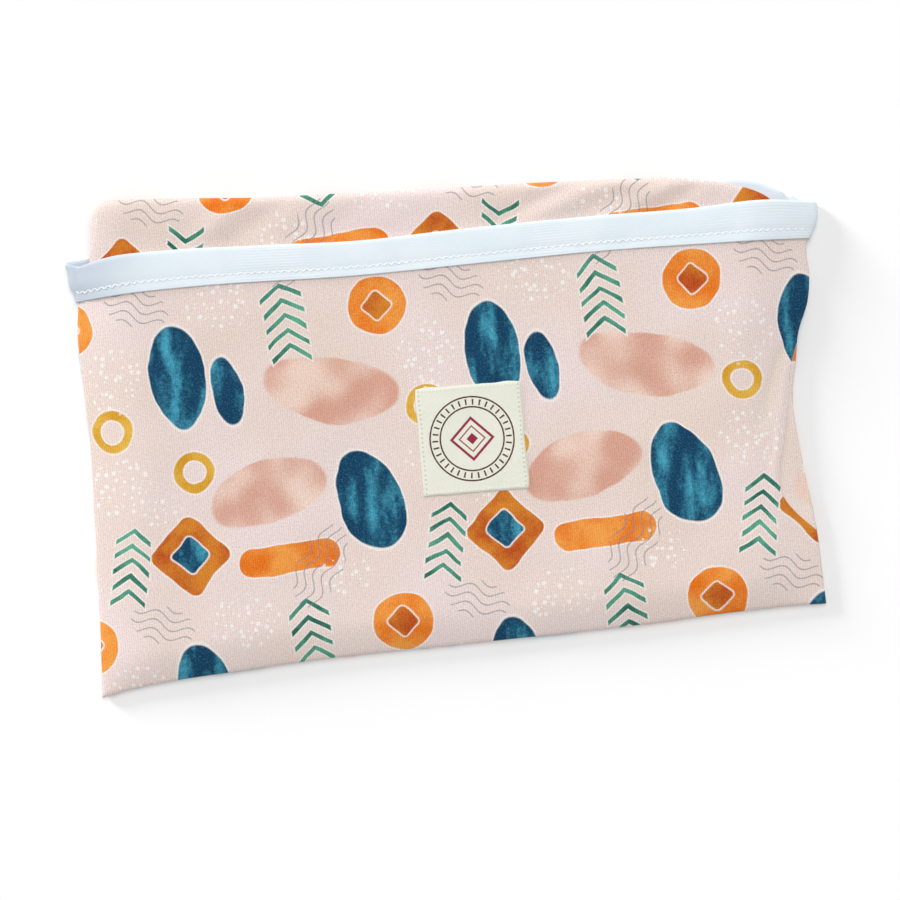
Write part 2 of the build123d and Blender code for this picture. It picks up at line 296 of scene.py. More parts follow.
def stripe(tree, value, half, at=0.0):  # below 0 within that distance of a line
    off = put(tree, "Math", [value, at], operation="SUBTRACT") if at else value
    aside = put(tree, "Math", [off], operation="ABSOLUTE")
    return put(tree, "Math", [aside, half], operation="SUBTRACT")


def stripes(tree, value, pitch, width):  # lines of that width, a pitch apart
    wrapped = put(tree, "Math", [value, pitch / 2, -pitch / 2], operation="WRAP")
    return stripe(tree, wrapped, width / 2)


def hoop(tree, place, centre, radius, width):
    off = motifPlace(tree, place, centre, 0)
    length = put(tree, "VectorMath", [off], "Value", operation="LENGTH")
    return stripe(tree, length, width / 2, radius)


def arrowColumn(tree, place, centre, turn, size, pitch, width):
    off = motifPlace(tree, place, centre, turn)
    across = put(tree, "SeparateXYZ", [off])
    aside = put(tree, "Math", [across], operation="ABSOLUTE")
    slanted = put(tree, "Math", [aside, 0.75, across.node.outputs[1]], operation="MULTIPLY_ADD")
    lines = stripes(tree, slanted, pitch, width)
    tooTall = stripe(tree, slanted, size[1] / 2)
    tooWide = put(tree, "Math", [aside, size[0] / 2], operation="SUBTRACT")
    return farthest(tree, [lines, tooTall, tooWide])


def penWave(tree, place, centre, turn, size, pitch, width):  # fine wavy lines in an oval
    off = motifPlace(tree, place, centre, turn)
    across = put(tree, "SeparateXYZ", [off])
    sway = waves(tree, across, 2 * math.pi / printDesign["waveLength"])
    swing = [sway, printDesign["waveSwing"], across.node.outputs[1]]
    swung = put(tree, "Math", swing, operation="MULTIPLY_ADD")
    lines = stripes(tree, swung, pitch, width)
    return farthest(tree, [lines, pebble(tree, place, centre, turn, size)])


def nearest(tree, shapes):  # any of the shapes
    shape = shapes[0]
    for other in shapes[1:]:
        shape = put(tree, "Math", [shape, other], operation="MINIMUM")
    return shape


def farthest(tree, shapes):  # only where all of the shapes are
    shape = shapes[0]
    for other in shapes[1:]:
        shape = put(tree, "Math", [shape, other], operation="MAXIMUM")
    return shape


def stamp(tree, under, shape, pair, tone, soft=0.3, strength=1.0, rim=0.85):
    # One colour of the print: a pale rim some 1 mm wide, where the dye stops short, then a wash of
    # two tones.
    rimShare = put(tree, "MapRange", [shape, 1.15, 0.4, 0.0, rim], **smooth)
    halo = colour(printDesign["halo"])
    paler = put(tree, "Mix", {0: rimShare, 6: under, 7: halo}, **inColour)
    wash = put(tree, "Mix", {0: tone, 6: colour(pair[0]), 7: colour(pair[1])}, **inColour)
    share = put(tree, "MapRange", [shape, soft, -soft, 0.0, strength], **smooth)
    return put(tree, "Mix", {0: share, 6: paler, 7: wash}, **inColour)


def makePrintedJersey():
    # Brushed cotton jersey: fine upright wales, a heathered nap with pale flecks and a dry, matt
    # face. The real wales are 0.75 mm apart, and are drawn 1.05 mm apart so that they show at all.
    material, tree = newMaterial("brushed cotton jersey, watercolour print")
    design = printDesign
    laid = onSheet(tree)
    slitSide = put(tree, "Attribute", [], "Fac", attribute_name="pastSlit")
    beyond = put(tree, "MapRange", [slitSide, 0.0, 0.15], **smooth)
    jump = put(tree, "VectorMath", {0: design["beyondSlit"], "Scale": beyond}, operation="SCALE")
    place = put(tree, "VectorMath", [laid, jump], operation="ADD")
    noise = {"Vector": place, "Scale": 0.05, "Detail": 2.0, "Roughness": 0.45}
    brush = put(tree, "TexNoise", noise, 1)
    wander = put(tree, "VectorMath", [brush, (0.5, 0.5, 0.5)], operation="SUBTRACT")
    astray = (design["unevenEdge"], design["unevenEdge"], 0.0)
    drawn = put(tree, "VectorMath", [wander, astray, place], operation="MULTIPLY_ADD")

    # Watercolour pools over some 25 mm, and is mottled over 2 mm where the nap takes it unevenly.
    noise = {"Vector": place, "Scale": 0.5, "Detail": 5.0, "Roughness": 0.75}
    mottle = put(tree, "TexNoise", noise)
    pools = put(tree, "TexNoise", {"Vector": place, "Scale": 0.06, "Detail": 2.0})
    mottled = put(tree, "Math", [mottle, 0.4], operation="MULTIPLY")
    wash = put(tree, "Math", [pools, 1.0, mottled], operation="MULTIPLY_ADD")
    tone = put(tree, "MapRange", [wash, 0.46, 0.92], **smooth)
    streaks = put(tree, "Mapping", {"Vector": place, "Scale": (0.11, 0.035, 1.0)})
    noise = {"Vector": streaks, "Scale": 1.0, "Detail": 4.0, "Roughness": 0.5}
    brushed = put(tree, "TexNoise", noise)
    brushedToo = put(tree, "Math", [brushed, 1.0, mottled], operation="MULTIPLY_ADD")
    tealTone = put(tree, "MapRange", [brushedToo, 0.62, 0.99], **smooth)
    swell = put(tree, "TexNoise", {"Vector": place, "Scale": 0.036, "Detail": 1.0})
    smoother = put(tree, "Math", [mottle, 0.16, swell], operation="MULTIPLY_ADD")
    roseTone = put(tree, "MapRange", [smoother, 0.42, 0.72], **smooth)

    even = put(tree, "TexNoise", {"Vector": place, "Scale": 0.014, "Detail": 1.0})
    drift = put(tree, "MapRange", [even, 0.3, 0.7], **smooth)
    first, second = (colour(code) for code in design["ground"])
    base = put(tree, "Mix", {0: drift, 6: first, 7: second}, **inColour)
    creased = put(tree, "Attribute", [], "Fac", attribute_name="creased")
    base = put(tree, "Mix", {0: creased, 6: base, 7: colour(design["cream"])}, **inColour)

    rose = nearest(tree, [pebble(tree, drawn, *motif) for motif in design["rosePebbles"]])
    base = stamp(tree, base, rose, design["rose"], roseTone, soft=0.6, strength=0.9, rim=0.0)
    dyes = (  # each dye in turn, how its tone varies, and the shapes it prints
        ("teal", tealTone, (pebble, "tealPebbles")),
        ("orange", tone, (pebble, "orangeDiscs"), (bar, "orangeBars")),
        ("rust", tone, (bar, "rustDiamonds")),
        ("teal", tealTone, (bar, "tealDiamonds")),
        ("green", tone, (arrowColumn, "greenArrows")),
        ("mustard", tone, (hoop, "mustardRings")),
    )
    for dye, varied, *kinds in dyes:
        motifs = [(draw, motif) for draw, name in kinds for motif in design[name]]
        shape = nearest(tree, [draw(tree, drawn, *motif) for draw, motif in motifs])
        base = stamp(tree, base, shape, design[dye], varied)

    # Specks of white up to 2.3 mm across, one to each 3.8 mm or so, in loose patches.
    voronoi = {"Vector": place, "Scale": 0.26, "Randomness": 0.8}
    cell = put(tree, "TexVoronoi", voronoi, "Distance", voronoi_dimensions="2D")
    chance = put(tree, "TexWhiteNoise", [cell.node.outputs["Position"]], noise_dimensions="3D")
    radius = put(tree, "Math", [chance, 0.24, 0.06], operation="MULTIPLY_ADD")
    fromSpeck = put(tree, "Math", [cell, radius], operation="SUBTRACT")
    speck = put(tree, "MapRange", [fromSpeck, 0.04, -0.05], **smooth)
    patches = nearest(tree, [pebble(tree, drawn, *motif) for motif in design["speckPatches"]])
    inPatch = put(tree, "MapRange", [patches, 1.0, -1.0, 0.0, 0.9], **smooth)
    shown = put(tree, "Math", [speck, inPatch], operation="MULTIPLY")
    base = put(tree, "Mix", {0: shown, 6: base, 7: colour(design["specks"])}, **inColour)

    lines = nearest(tree, [penWave(tree, place, *motif) for motif in design["penWaves"]])
    pen = put(tree, "MapRange", [lines, 0.35, -0.15, 0.0, 0.7], **smooth)
    base = put(tree, "Mix", {0: pen, 6: base, 7: colour(design["linework"])}, **inColour)

    # The dye hardly reaches the wrong side, which stays plain with a ghost of the print.
    wrongSide = put(tree, "Attribute", [], "Fac", attribute_name="wrongSide")
    ghost = put(tree, "Math", [wrongSide, 0.86], operation="MULTIPLY")
    base = put(tree, "Mix", {0: ghost, 6: base, 7: colour(design["wrongSide"])}, **inColour)

    fibre = put(tree, "TexNoise", {"Vector": place, "Scale": 1.25, "Detail": 3.0, "Roughness": 0.8})
    across = put(tree, "SeparateXYZ", [place])
    waving = put(tree, "Math", [fibre, 1.3, across], operation="MULTIPLY_ADD")
    wale = waves(tree, waving, 2 * math.pi / design["waleSpacing"])
    grain = put(tree, "Math", [fibre, 2.0, -1.0], operation="MULTIPLY_ADD")
    # Where the cloth is pulled long beside an open mouth, its wales and nap don't spread with it.
    objectPlace = put(tree, "TexCoord", [], "Object")
    height = put(tree, "SeparateXYZ", [objectPlace]).node.outputs[2]
    restHeight = put(tree, "Attribute", [], "Fac", attribute_name="restHeight")
    lifted = put(tree, "Math", [height, restHeight], operation="SUBTRACT")
    pulled = put(tree, "MapRange", [lifted, 0.001, 0.006])
    stretchy = put(tree, "Attribute", [], "Fac", attribute_name="stretchy")
    plain = put(tree, "Math", [pulled, stretchy], operation="MULTIPLY")
    waleShare = put(tree, "MapRange", [plain, 0.0, 1.0, 0.17, 0.0])
    grainShare = put(tree, "MapRange", [plain, 0.0, 1.0, 1.0, 0.15])
    calmed = put(tree, "Math", [grain, grainShare], operation="MULTIPLY")
    nap = put(tree, "Math", [wale, waleShare, calmed], operation="MULTIPLY_ADD")
    shade = put(tree, "Math", [nap, 0.46, 0.98], operation="MULTIPLY_ADD")
    shaded = put(tree, "VectorMath", {0: base, "Scale": shade}, operation="SCALE")
    fleck = put(tree, "MapRange", [fibre, 0.5, 0.76, 0.0, 0.13], **smooth)
    bare = colour(design["bareFibre"])
    shaded = put(tree, "Mix", {0: fleck, 6: shaded, 7: bare}, **inColour)
    finish = {
        "Roughness": 0.88,
        "Specular IOR Level": 0.1,
        "Sheen Weight": 0.03,
        "Sheen Roughness": 0.6,
    }
    finishWith(tree, shaded, nap, finish, 0.45, 0.25)
    return material


# The grey is painted shade on the elastic, for its left side turn and its back run.
elastic = {"white": ("#E7F2FA", "#ECF6FB"), "paintedElasticShade": "#C5D0DC", "ribSpacing": 1.3}


def makeWhiteElastic():
    # Fold-over elastic: nylon and spandex, woven with fine ribs along it, soft and slightly cool
    # white. Painted shade greys it at the left side turn and on the back run. The real
    # ribs are 0.8 mm apart, and are drawn 1.3 mm apart so that they show.
    material, tree = newMaterial("white fold-over elastic, ribbed nylon")
    place = onSheet(tree)
    across = put(tree, "SeparateXYZ", [place])
    rib = waves(tree, across.node.outputs[1], 2 * math.pi / elastic["ribSpacing"])
    drawnOut = put(tree, "VectorMath", [place, (0.3, 1.0, 1.0)], operation="MULTIPLY")
    noise = {"Vector": drawnOut, "Scale": 1.3, "Detail": 3.0, "Roughness": 0.7}
    fibre = put(tree, "TexNoise", noise)
    cloudy = put(tree, "TexNoise", {"Vector": place, "Scale": 0.05, "Detail": 3.0})
    tone = put(tree, "MapRange", [cloudy, 0.35, 0.65], **smooth)
    first, second = (colour(code) for code in elastic["white"])
    base = put(tree, "Mix", {0: tone, 6: first, 7: second}, **inColour)
    # Painted shade: the elastic is greyed at the left side turn and on the back run.
    paintedShadeShare = put(tree, "Attribute", [], "Fac", attribute_name="paintedElasticShade")
    base = put(tree, "Mix", {0: paintedShadeShare, 6: base, 7: colour(elastic["paintedElasticShade"])}, **inColour)
    clearer = put(tree, "TexNoise", {"Vector": place, "Scale": 0.016, "Detail": 1.0})
    ribShare = put(tree, "MapRange", [clearer, 0.4, 0.65], **smooth)
    ribbed = put(tree, "Math", [rib, ribShare], operation="MULTIPLY")
    height = put(tree, "Math", [ribbed, 0.35, fibre], operation="MULTIPLY_ADD")
    shade = put(tree, "Math", [height, 0.05, 0.975], operation="MULTIPLY_ADD")
    shaded = put(tree, "VectorMath", {0: base, "Scale": shade}, operation="SCALE")
    finish = {"Roughness": 0.7, "Specular IOR Level": 0.35, "Sheen Weight": 0.08}
    finishWith(tree, shaded, height, finish)
    return material


thread = {"white": ("#EAF0F3", "#FAFBFB"), "twist": 0.4}  # its twist in mm


def makeThread():
    # Spun polyester thread: white and twisted, a little brighter than the elastic it sinks into.
    material, tree = newMaterial("white spun polyester thread")
    place = put(tree, "TexCoord", [], "Object")
    twist = put(tree, "TexNoise", {"Vector": place, "Scale": 1000 / thread["twist"], "Detail": 2.0})
    first, second = (colour(code) for code in thread["white"])
    base = put(tree, "Mix", {0: twist, 6: first, 7: second}, **inColour)
    finishWith(tree, base, twist, {"Roughness": 0.6, "Sheen Weight": 0.05}, depth=0.1)
    return material


labelMark = {
    "cloth": ("#F6F7E9", "#ECEDDB"),
    "weavePace": 7.0,  # a thread each 0.9 mm
    "rings": (20.0, 15.2),  # their radii
    "line": 0.75,
    "ringInk": "#552A2D",
    "ticks": 34,
    "tick": 1.0,  # half its length
    "diamondInk": "#9B2C42",
    "diamondCore": 1.9,
    "diamonds": ((7.0, 1.1), (4.3, 0.5)),  # half their size, and the width of their line
    "holes": 23.6,  # needle holes stand this far from the middle
    "holePitch": 2.2,
    "holeShade": "#A9A88F",
}


def makeLabelCloth():
    # Plain woven cotton tape in natural cream: two rings with ticks between them and a nest of
    # diamonds are woven in dull reds. The weave is 0.45 mm, and is drawn at 0.9 mm to show.
    material, tree = newMaterial("natural cotton twill label")
    place = onSheet(tree)
    x = put(tree, "SeparateXYZ", [place])
    y = x.node.outputs[1]
    threads = [waves(tree, way, labelMark["weavePace"]) for way in (x, y)]
    weave = put(tree, "Math", threads, operation="MULTIPLY")
    fleck = put(tree, "TexNoise", {"Vector": place, "Scale": 1.1, "Detail": 4.0, "Roughness": 0.7})
    fray = put(tree, "Math", [fleck, 0.5, -0.25], operation="MULTIPLY_ADD")
    tone = put(tree, "MapRange", [fleck, 0.35, 0.7], **smooth)
    first, second = (colour(code) for code in labelMark["cloth"])
    base = put(tree, "Mix", {0: tone, 6: first, 7: second}, **inColour)

    length = put(tree, "VectorMath", [place], "Value", operation="LENGTH")
    rings = []
    for radius in labelMark["rings"]:
        off = put(tree, "Math", [length, radius], operation="SUBTRACT")
        rings.append(put(tree, "Math", [off], operation="ABSOLUTE"))
    middle = sum(labelMark["rings"]) / 2
    perHalfTurn = labelMark["ticks"] / 2
    around = put(tree, "Math", [y, x], operation="ARCTAN2")
    wave = put(tree, "Math", [waves(tree, around, perHalfTurn)], operation="ABSOLUTE")
    tickAside = put(tree, "Math", [wave, middle / perHalfTurn], operation="MULTIPLY")
    rings.append(farthest(tree, [tickAside, stripe(tree, length, labelMark["tick"], middle)]))
    ringShape = put(tree, "Math", [nearest(tree, rings), fray], operation="ADD")
    half, soft = labelMark["line"] / 2, 0.12
    ringInk = put(tree, "MapRange", [ringShape, half + soft, half - soft], **smooth)
    base = put(tree, "Mix", {0: ringInk, 6: base, 7: colour(labelMark["ringInk"])}, **inColour)

    aslant = put(
        tree, "VectorRotate", {"Vector": place, "Angle": math.radians(45)}, rotation_type="Z_AXIS"
    )
    sides = put(tree, "SeparateXYZ", [put(tree, "VectorMath", [aslant], operation="ABSOLUTE")])
    square = put(tree, "Math", [sides, sides.node.outputs[1]], operation="MAXIMUM")
    diamonds = [put(tree, "Math", [square, labelMark["diamondCore"]], operation="SUBTRACT")]
    for size, width in labelMark["diamonds"]:
        diamonds.append(stripe(tree, square, width / 2, size))
    nest = put(tree, "Math", [nearest(tree, diamonds), fray], operation="ADD")
    nestInk = put(tree, "MapRange", [nest, 0.2, -0.1], **smooth)
    base = put(tree, "Mix", {0: nestInk, 6: base, 7: colour(labelMark["diamondInk"])}, **inColour)

    fromSide = stripe(tree, x, labelMark["holes"])
    reach = labelMark["holePitch"] / 2
    alongSide = put(tree, "Math", [y, reach, -reach], operation="WRAP")
    toHole = put(tree, "CombineXYZ", [fromSide, alongSide])
    hole = put(tree, "VectorMath", [toHole], "Value", operation="LENGTH")
    holeShare = put(tree, "MapRange", [hole, 0.6, 0.15, 0.0, 0.6], **smooth)
    base = put(tree, "Mix", {0: holeShare, 6: base, 7: colour(labelMark["holeShade"])}, **inColour)

    height = put(tree, "Math", [weave, fleck], operation="ADD")
    shade = put(tree, "Math", [height, 0.05, 0.975], operation="MULTIPLY_ADD")
    shaded = put(tree, "VectorMath", {0: base, "Scale": shade}, operation="SCALE")
    finishWith(tree, shaded, height, {"Roughness": 0.85, "Specular IOR Level": 0.25})
    return material


printedJersey = makePrintedJersey()
whiteElastic = makeWhiteElastic()
whiteThread = makeThread()
labelCloth = makeLabelCloth()
print("materials are made")

# The pocket is one skin of jersey: front, side folds, foot fold and back. Its lines give x for a
# height y up the cloth, or a small rise for a place x across it.
pocket = {
    "left": lineThrough(
        (-118, -178.9), (-80, -176.9), (-34, -175.4), (7, -174.5), (26, -175.2), (57, -176.2),
        (73.2, -175.2), (80, -177.3), (86, -177.6), (89.7, -178.6),
    ),
    "right": lineThrough(
        (-102, 168.4), (-64, 166.6), (-30, 162.4), (-3, 160.6), (16, 163.6), (29, 166.0),
        (43, 171.5), (56, 173.4), (68, 173.0), (73.2, 174.0), (78, 176.8), (83.4, 178.6),
        (89.7, 179.0),
    ),
    "footBow": lineThrough(
        (-179, 0), (-165, 2.4), (-150, 3.5), (-117, 4.3), (-70, 4.8), (0, 3.1), (77, 1.5),
        (123, 1.6), (155, 1.0), (168.4, 0),
    ),
    "mouthWave": lineThrough(
        (-180, 0.6), (-177, -0.4), (-173, -1.8), (-168, -0.9), (-160, 0.8), (-131, 2.0), (-85, 0.6),
        (-38, -1.0), (8, 0.4), (76, 1.3), (118, 1.1), (156, 2.2), (179, -0.2),
    ),
    "bandFootWave": lineThrough(
        (-178, -1.8), (-150, 0.0), (-119, 0.6), (-40, -0.7), (18, 0.3), (75, 1.2), (135, 0.4),
        (175, -0.4),
    ),
    "backRise": lineThrough(
        (-179, 0.4), (-176, 1.8), (-173, 3.0), (-168, 2.8), (-160, 4.4), (-139, 9.6), (-60, 11),
        (60, 11), (132, 11.6), (141, 11.3), (147.4, 10.5), (153.7, 8.7), (159.6, 6.2), (164.2, 4.2),
        (167.6, 2.9), (170.5, 1.1), (174, 0.3), (179, 0.2),
    ),
    "mouth": 89.7,
    "footLeft": -117.3,
    "footRight": -101.3,
    "width": 348.5,
    "length": 200.0,
    "bandWidth": 16.5,
    "hem": 1.2,  # the skin stops this far inside the fold of its binding
    "fold": 1.45,  # half the height of a side fold
    "foldMiddle": 1.55,
    "leftRun": 30.0,  # over which the front comes down to its side folds
    "rightRun": 34.0,
    "sideCurve": 1.9,
    "brow": 8.5,  # height over the foot, and the run up to it
    "browRun": 18.0,
    "crown": 13.0,  # height at the mouth, and the run up to it
    "crownRun": 172.0,
    "swells": ((0.55, 95, 3), (0.18, 34, 5)),  # height, distance apart and seed of its soft hills
    "calm": 30.0,  # they die down this near to the folds
    "lip": 0.8,  # the slit's lip stands up, and the valley and the cloth behind the slit lie low
    "hollow": 2.1,
    "opened": 1.9,
    "bandSeat": 0.9,  # the back's cloth is lifted by the binding under it
    "cloth": 0.8,
    "wall": 0.62,
    "pitch": 2.4,
    "printRound": 357.0,  # where the print comes back on the underside
}
pocket["bandFoot"] = pocket["mouth"] - pocket["bandWidth"]
nearSides = (0, 0.25, 0.7, 1.4, 2.3, 3.4, 4.8, 6.5, 8.6, 10.2, 11.2, 12.0, 12.8, 13.6, 14.8, 16.6)
acrossPocket = steps(pocket["width"], pocket["pitch"], nearSides)
alongPocket = steps(pocket["length"], pocket["pitch"])[: 1 - len(nearEdge)]  # plain at the mouth
alongPocket = alongPocket / alongPocket[-1]
# Near the right side the corner's seam opens a slit, with a soft valley running in from its top.
slit = lineThrough(
    (-66, 166.5), (-58, 158.5), (-50, 152.6), (-36, 151.4), (-24, 154.3), (-3, 158.6), (12, 160.9),
    (25, 165.4), (34, 170.0),
)
valley = lineThrough((-30, 141.0), (-6, 147.8), (9, 153.0), (21, 158.6), (30, 166.0))


def pocketPlan(across, along, back):  # where a crossing of the skin lies, seen from above
    p = pocket
    footY = p["footLeft"] + (p["footRight"] - p["footLeft"]) * across
    y = footY + (p["mouth"] - footY) * along
    for _ in range(2):
        x = p["left"](y) * (1 - across) + p["right"](y) * across
        footY = p["footLeft"] + (p["footRight"] - p["footLeft"]) * across + p["footBow"](x)
        mouthY = p["mouth"] + p["mouthWave"](x) + back * p["backRise"](x)
        y = footY + (mouthY - footY) * along
    return x, y, footY


def frontHeight(x, y, left, right, fromFoot):  # middle of the front ply above its side folds
    p = pocket
    climb = np.clip((y - (p["footLeft"] + p["browRun"])) / p["crownRun"], 0, 1)
    crown = p["brow"] + (p["crown"] - p["brow"]) * climb - p["cloth"] / 2
    overLeft = 1 - (1 - np.clip((x - left) / p["leftRun"], 0, 1)) ** p["sideCurve"]
    overRight = 1 - (1 - np.clip((right - x) / p["rightRun"], 0, 1)) ** p["sideCurve"]
    up = 1 - (1 - np.clip(fromFoot / p["browRun"], 0, 1)) ** 2
    lift = (crown - p["foldMiddle"] - p["fold"]) * overLeft * overRight * up
    fromSide = np.minimum(x - left, right - x)
    calm = eased(fromSide / p["calm"]) * eased(fromFoot / p["calm"]) * (1 - eased((y - 55) / 16))
    soft = sum(height * hills(x, y, apart, seed) for height, apart, seed in p["swells"])
    # The crease at the right: the valley, the cloth behind the slit, and the slit's lip.
    near = eased((right - x) / 5)
    hollow = bump(x - valley(y), 3.4) * reaching(y, -24, 30, 27, 9)
    opened = eased((x - slit(y) + 0.7) / 1.5) * reaching(y, -64, 16, 30, 10)
    lip = bump(x - slit(y) + 2.4, 2.2) * reaching(y, -60, 16, 26, 10)
    rise = p["lip"] * lip - p["hollow"] * hollow - p["opened"] * opened
    return lift + calm * soft + near * rise


def backHeight(x, y):
    p = pocket
    return p["cloth"] / 2 + p["bandSeat"] * eased((y - p["bandFoot"] + 8) / 8)


def thereAndBack(across):  # a loop over the front and back under it, with 1 for the underside
    under = np.concatenate([np.zeros(len(across)), np.ones(len(across) - 1)])
    return np.concatenate([across, across[-2::-1]]), under


loopAcross, loopBack = thereAndBack(acrossPocket)


def pocketSkin(across, along, back):
    p = pocket
    x, y, footY = pocketPlan(across, along, back)
    fromSide = np.minimum(x - p["left"](y), p["right"](y) - x)
    edge = rounded(fromSide, p["fold"]) * rounded(y - footY, p["fold"])
    lifted = frontHeight(x, y, p["left"](y), p["right"](y), y - footY)
    front = p["foldMiddle"] + p["fold"] * edge + lifted
    flat = backHeight(x, y)
    middle = p["foldMiddle"] + 0.5 * (flat - p["cloth"] / 2)
    under = middle + (flat - middle) * edge
    return np.stack([x, y, np.where(back > 0.5, under, front)], axis=1)


def placePocket(column, row):
    along = alongPocket[row] * (1 - pocket["hem"] / pocket["length"])
    return pocketSkin(loopAcross[column], along, loopBack[column])


def printOnPocket(column, row):
    across, back = loopAcross[column], loopBack[column]
    x, y, _ = pocketPlan(across, alongPocket[row], 0 * back)
    u = np.where(back > 0.5, pocket["printRound"] - x, x)
    return np.stack([u, y], axis=1)


skin = layCloth(
    "pocketSkin", len(loopAcross) - 1, len(alongPocket) - 1, placePocket, printOnPocket
)
thicken(skin, pocket["wall"])
x, y, z = pointsOf(skin).T / mm
pastSlit = np.minimum.reduce([x - slit(y), 8 * (z - 1.6), y + 66, 34 - y])
mark(skin, "pastSlit", pastSlit)  # mm beyond the slit, for the print
inValley = bump(x - valley(y) - 0.8, 3.4) * reaching(y, -30, 30, 30, 8)
warmed = np.maximum(0.75 * inValley, 0.5 * eased(pastSlit / 2))
mark(skin, "creased", warmed * eased(z - 1))  # 1 in the crease at the right
mark(skin, "stretchy", eased((z - 2) / 1.2) * (1 - eased((z - 7.5) / 2)))  # 1 on the side walls
mark(skin, "restHeight", z * mm)
dress(skin, printedJersey)
print("pocket skin is laid,", len(skin.data.polygons), "faces")

# One loop of elastic is folded over the mouth's edge. Its cross-section goes up one leg, over
# the fold and down the other: each point is its height in the band and its place off the cloth.
binding = {
    "leg": 0.86,  # middle of a leg, off the middle of the cloth
    "legSteps": (0, 0.5, 1.2, 2.2, 3.4, 4.3, 5.2, 6.6, 8.6, 10.6, 12.2, 13.6, 14.6, 15.3),
    "foldTurns": (70, 50, 30, 10, -10, -30, -50, -70),
    "thickness": 0.8,
    "stitchRow": 4.1,
    "stitchDip": 0.24,
    "puff": 0.15,  # over the stitches it stands up a little
    "creaseAt": 166.3,  # a small pucker in the back run's edge
    "tuckAt": -173.5,  # and a tuck where the front run turns over at the left
}
legSteps = np.array(binding["legSteps"])
puff = binding["puff"] * np.sin(np.pi * np.maximum(legSteps - 4.3, 0) / 12.4)
dip = binding["stitchDip"] * bump(legSteps - binding["stitchRow"], 1.1)
leg = np.stack([legSteps, binding["leg"] + puff - dip], axis=1)
turns = np.radians(binding["foldTurns"])
overFold = pocket["bandWidth"] - 1 + np.cos(turns)
fold = np.stack([overFold, np.sin(turns) * binding["leg"]], axis=1)
bindingPoints = np.concatenate([leg, fold, leg[::-1] * (1, -1)])


def bindingLoop(width):  # the loop of cloth that a row of the binding follows, in mm
    across, back = loopAcross[:-1], loopBack[:-1]
    ones = 1 + 0 * across
    below = pocket["bandWidth"] - width
    base = pocketSkin(across, ones - below / pocket["length"], back)
    x, y, _ = pocketPlan(across, ones, back)
    share = np.clip(width / pocket["bandWidth"], 0, 1)
    straighter = (1 - share) * (pocket["bandFootWave"](x) - pocket["mouthWave"](x))
    fromCrease = x - binding["creaseAt"]  # the pucker is pulled down, and bulges beside it
    pucker = back * bump(fromCrease, 1.5) * share**4
    base[:, 1] = y - below + straighter - 1.5 * pucker
    beside = bump(fromCrease - 2.6, 1.6) + bump(fromCrease + 4, 3)
    base[:, 2] += back * share**2 * (0.6 * beside - 1.3 * bump(fromCrease, 1.2))
    base[:, 1] += 0.9 * back * share**2 * bump(fromCrease - 2.8, 1.5)
    base[:, 2] -= 0.7 * (1 - back) * bump(x - binding["tuckAt"] + 1.5 * share, 1.2)
    return base


bindingLoops = [bindingLoop(width) for width, _ in bindingPoints]


def placeBinding(column, row):
    points = np.zeros((len(column), 3))
    lowest = binding["thickness"] / 2 + 0.05  # it lies on the table and goes no lower
    for index, (width, off) in enumerate(bindingPoints):
        base = bindingLoops[index]
        flat = base[:, [0, 2]]
        tangent = np.roll(flat, -1, axis=0) - np.roll(flat, 1, axis=0)
        tangent /= np.maximum(np.linalg.norm(tangent, axis=1, keepdims=True), 1e-6)
        normal = np.stack([-tangent[:, 1], tangent[:, 0]], axis=1)
        for _ in range(3):
            normal = (np.roll(normal, 1, axis=0) + 2 * normal + np.roll(normal, -1, axis=0)) / 4
        normal /= np.maximum(np.linalg.norm(normal, axis=1, keepdims=True), 1e-6)
        loop = base.copy()
        sway = 0.10 * hills(base[:, 0], base[:, 1], 30, 11)
        loop[:, [0, 2]] += normal * (off + math.copysign(1, off) * sway)[:, None]
        loop[:, 2] = np.maximum(loop[:, 2], lowest)
        loop = np.concatenate([loop, loop[:1]])
        chosen = row == index
        points[chosen] = loop[column[chosen]]
    return points


def printOnBinding(column, row):
    base = bindingLoops[0]
    sides = np.linalg.norm(np.diff(base, axis=0, append=base[:1]), axis=1)
    run = np.concatenate([[0], np.cumsum(sides)])
    path = np.concatenate([[0], np.cumsum(np.linalg.norm(np.diff(bindingPoints, axis=0), axis=1))])
    return np.stack([run[column], path[row]], axis=1)


band = layCloth(
    "mouthBinding", len(loopAcross) - 1, len(bindingPoints) - 1, placeBinding, printOnBinding
)
thicken(band, binding["thickness"])
x, _, z = pointsOf(band).T / mm
paintedShadeShare = np.maximum(eased((-132 - x) / 44), 0.25 * eased((6 - z) / 3))
mark(band, "paintedElasticShade", paintedShadeShare)  # painted shade: 1 at the left side turn, and a quarter where the band lies low on the back run
dress(band, whiteElastic)
print("binding is folded,", len(band.data.polygons), "faces")

# Zigzag stitches: one is modelled and the rest are copied from it.
stitch = {
    "pitch": 1.75, "length": 2.7, "width": 0.68, "slant": 43, "rise": 0.06,
    "rowEnds": (-175, 174), "steepest": 0.75,  # there are none where the band turns down
}


